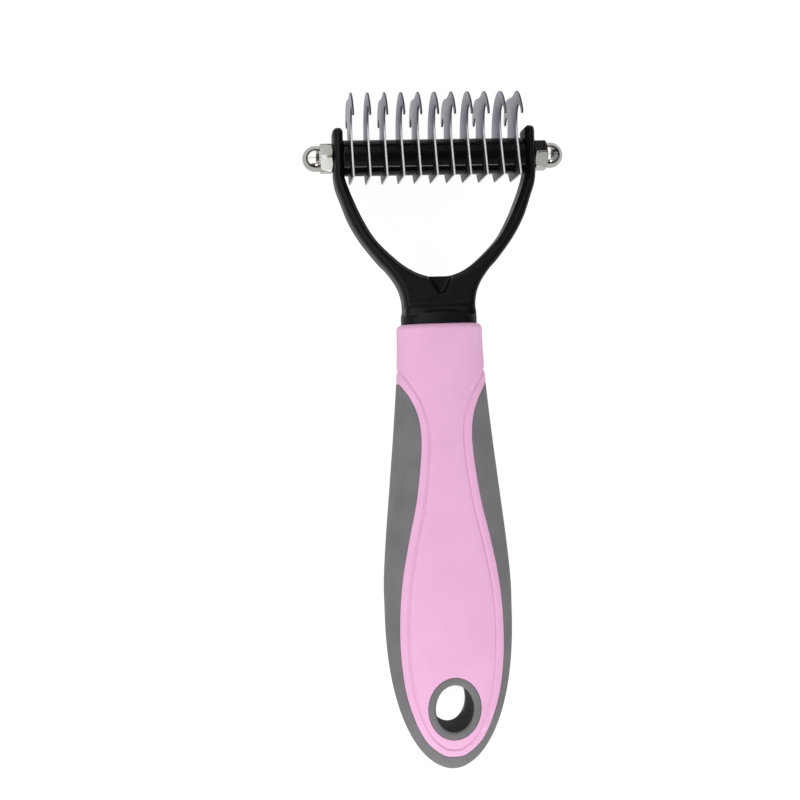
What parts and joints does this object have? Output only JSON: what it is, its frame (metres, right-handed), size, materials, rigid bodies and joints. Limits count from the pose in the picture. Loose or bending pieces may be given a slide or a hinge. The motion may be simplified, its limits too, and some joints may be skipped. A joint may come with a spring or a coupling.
{
  "type": "undercoat rake",
  "caption": "Pet undercoat rake: a stack of hooked steel blades clamped on an axle between the arms of a black yoke, on a pink and gray grip handle with a hang hole.",
  "frame": {"origin": "on the table the tool lies on, below the middle of its box", "axes": "+X along the axle, to the right seen from the front; +Y along the handle towards the blades; +Z from the tool's back, on the table, to its front"},
  "size_m": [0.0662, 0.17, 0.0253],
  "materials": {
    "pink_plastic": "matte, soft to the touch",
    "gray_rubber": "matte soft overmould",
    "black_plastic": "satin moulded",
    "black_spacer": "satin",
    "axle_steel": "zinc plated",
    "blade_steel": "stamped and tumbled, edges ground bright",
    "nut_chrome": "bright nickel plate"
  },
  "bodies": {
    "rake": {"handle_core": "pink_plastic", "soft_grip": "gray_rubber", "hang_hole_liner": "gray_rubber", "yoke": "black_plastic", "axle_rod": "axle_steel", "blade_01": "blade_steel", "blade_02": "blade_steel", "blade_03": "blade_steel", "blade_04": "blade_steel", "blade_05": "blade_steel", "blade_06": "blade_steel", "blade_07": "blade_steel", "blade_08": "blade_steel", "blade_09": "blade_steel", "blade_10": "blade_steel", "blade_11": "blade_steel", "spacer_01": "black_spacer", "spacer_02": "black_spacer", "spacer_03": "black_spacer", "spacer_04": "black_spacer", "spacer_05": "black_spacer", "spacer_06": "black_spacer", "spacer_07": "black_spacer", "spacer_08": "black_spacer", "spacer_09": "black_spacer", "spacer_10": "black_spacer", "end_spacer_left": "black_spacer", "end_spacer_right": "black_spacer"},
    "left_nut": {"cap_nut_left": "nut_chrome"},
    "right_nut": {"cap_nut_right": "nut_chrome"}
  },
  "joints": [
    {"name": "left_nut_unscrew", "type": "hinge", "parent": "rake", "child": "left_nut", "pos_m": [-0.0256, 0.0693, 0.013], "axis": [-1, 0, 0], "range_deg": [0, 2640]},
    {"name": "right_nut_unscrew", "type": "hinge", "parent": "rake", "child": "right_nut", "pos_m": [0.0256, 0.0693, 0.013], "axis": [1, 0, 0], "range_deg": [0, 2640]}
  ]
}
